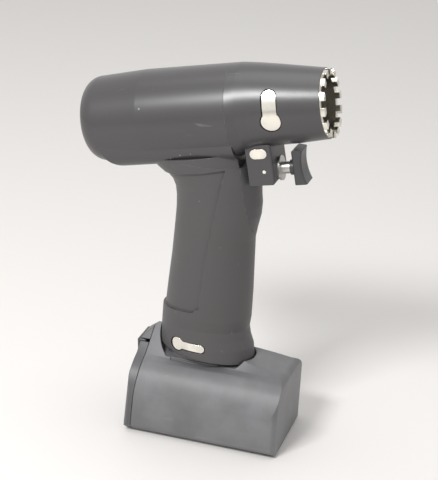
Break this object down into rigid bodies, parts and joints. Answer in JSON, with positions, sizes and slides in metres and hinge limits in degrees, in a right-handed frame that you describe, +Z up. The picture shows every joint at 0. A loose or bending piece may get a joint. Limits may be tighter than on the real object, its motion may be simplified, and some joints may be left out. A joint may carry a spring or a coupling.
{
  "type": "surgical power drill",
  "caption": "Pistol-shaped battery surgical drill with geared motor, castellated coupling ring, keyhole release levers, sprung trigger and slide-on battery.",
  "frame": {"origin": "centre of the battery's flat underside, in the plane of symmetry", "axes": "+X towards the nose, +Z up, +Y to the far side; the XZ plane is the plane of symmetry"},
  "size_m": [0.1312, 0.0558, 0.2034],
  "materials": {
    "black_coat": "glossy black hard coat",
    "grip_coat": "satin dark grey coat",
    "frame_coat": "satin dark grey coat",
    "polished_steel": "bright polished",
    "steel": "machined",
    "spring_steel": "drawn wire",
    "magnet": "nickel plated",
    "aluminium": "machined",
    "brass": "plain",
    "copper": "wound and laminated",
    "seal": "moulded",
    "insulator": "moulded",
    "circuit": "coated board",
    "battery_grey": "fine texture",
    "cap_grey": "fine texture",
    "button": "smooth",
    "cell_wrap": "shrink wrap",
    "gold": "plated"
  },
  "bodies": {
    "handpiece": {"grip_housing": "black_coat", "nose_housing": "black_coat", "trigger_frame": "frame_coat", "trigger_bush": "steel", "bush_set_screw": "polished_steel", "coupling_ring": "polished_steel", "attachment_seat": "steel", "shaft_seal": "seal", "nose_lever_pins": "steel", "battery_lever_pins": "steel", "motor_rear_bell": "aluminium", "motor_can": "steel", "motor_stator": "copper", "motor_front_plate": "aluminium", "rotor_bearing_rear": "steel", "rotor_bearing_front": "steel", "ring_gear": "steel", "spindle_plate": "aluminium", "spindle_bearing": "steel", "contact_pins": "gold", "contact_block": "insulator", "control_board": "circuit"},
    "trigger": {"trigger_spring": "spring_steel", "trigger_shaft": "steel", "trigger_magnet": "magnet", "trigger_pad": "polished_steel"},
    "selector": {"selector_button": "polished_steel"},
    "nose_release_near": {"nose_lever_near": "polished_steel"},
    "nose_release_far": {"nose_lever_far": "polished_steel"},
    "battery_release_near": {"battery_lever_near": "polished_steel"},
    "battery_release_far": {"battery_lever_far": "polished_steel"},
    "rotor": {"motor_shaft": "steel", "sun_gear": "steel", "rotor_magnet": "magnet"},
    "planet_stage": {"planet_carrier": "steel", "planet_pins": "steel", "output_spindle": "steel", "drive_coupling": "steel"},
    "planet_one": {"planet_gear_1": "steel"},
    "planet_two": {"planet_gear_2": "steel"},
    "planet_three": {"planet_gear_3": "steel"},
    "battery": {"battery_case": "battery_grey", "battery_cap": "cap_grey", "cap_screws": "steel", "battery_tower": "battery_grey", "battery_contacts": "gold", "battery_cell_near": "cell_wrap", "battery_cell_far": "cell_wrap", "battery_cell_top": "cell_wrap", "battery_board": "circuit"},
    "battery_latch": {"battery_latch_button": "button"}
  },
  "joints": [
    {"name": "rotor_spin", "type": "hinge", "parent": "handpiece", "child": "rotor", "pos_m": [-0.03673, 0, 0.16838], "axis": [0.9781, 0, 0.2079], "continuous": true},
    {"name": "spindle_spin", "type": "hinge", "parent": "handpiece", "child": "planet_stage", "pos_m": [-0.00738, 0, 0.17462], "axis": [0.9781, 0, 0.2079], "continuous": true},
    {"name": "trigger_pull", "type": "slide", "parent": "handpiece", "child": "trigger", "axis": [-0.9781, 0, -0.2079], "range_m": [0, 0.0044], "stiffness_N_per_m": 900, "springref_m": -0.002, "deforming": ["trigger_spring"]},
    {"name": "selector_press", "type": "slide", "parent": "handpiece", "child": "selector", "axis": [0, 1, 0], "range_m": [0, 0.0007], "stiffness_N_per_m": 1500, "springref_m": -0.0004},
    {"name": "nose_release_near_press", "type": "hinge", "parent": "handpiece", "child": "nose_release_near", "pos_m": [0.02189, -0.01653, 0.19035], "axis": [0.9781, 0, 0.2079], "range_deg": [0, 4], "stiffness_Nm_per_rad": 0.02},
    {"name": "nose_release_far_press", "type": "hinge", "parent": "handpiece", "child": "nose_release_far", "pos_m": [0.02189, 0.01653, 0.19035], "axis": [-0.9781, 0, -0.2079], "range_deg": [0, 4], "stiffness_Nm_per_rad": 0.02},
    {"name": "battery_release_near_press", "type": "hinge", "parent": "handpiece", "child": "battery_release_near", "pos_m": [-0.0051, -0.01619, 0.0506], "axis": [0, 0, -1], "range_deg": [0, 3], "stiffness_Nm_per_rad": 0.02},
    {"name": "battery_release_far_press", "type": "hinge", "parent": "handpiece", "child": "battery_release_far", "pos_m": [-0.0051, 0.01619, 0.0506], "axis": [0, 0, 1], "range_deg": [0, 3], "stiffness_Nm_per_rad": 0.02},
    {"name": "battery_removal", "type": "slide", "parent": "handpiece", "child": "battery", "axis": [0, 0, -1], "range_m": [0, 0.035]},
    {"name": "battery_latch_push", "type": "slide", "parent": "battery", "child": "battery_latch", "axis": [1, 0, 0], "range_m": [0, 0.0016], "stiffness_N_per_m": 1200, "springref_m": -0.001},
    {"name": "planet_one_spin", "type": "hinge", "parent": "planet_stage", "child": "planet_one", "pos_m": [-0.0155, 0, 0.18394], "axis": [0.9781, 0, 0.2079], "continuous": true},
    {"name": "planet_two_spin", "type": "hinge", "parent": "planet_stage", "child": "planet_two", "pos_m": [-0.01213, 0.00935, 0.16809], "axis": [0.9781, 0, 0.2079], "continuous": true},
    {"name": "planet_three_spin", "type": "hinge", "parent": "planet_stage", "child": "planet_three", "pos_m": [-0.01213, -0.00935, 0.16809], "axis": [0.9781, 0, 0.2079], "continuous": true}
  ],
  "couplings": [
    {"joint": "spindle_spin", "follows": "rotor_spin", "ratio": 0.25},
    {"joint": "planet_one_spin", "follows": "rotor_spin", "ratio": -0.75},
    {"joint": "planet_two_spin", "follows": "rotor_spin", "ratio": -0.75},
    {"joint": "planet_three_spin", "follows": "rotor_spin", "ratio": -0.75}
  ]
}
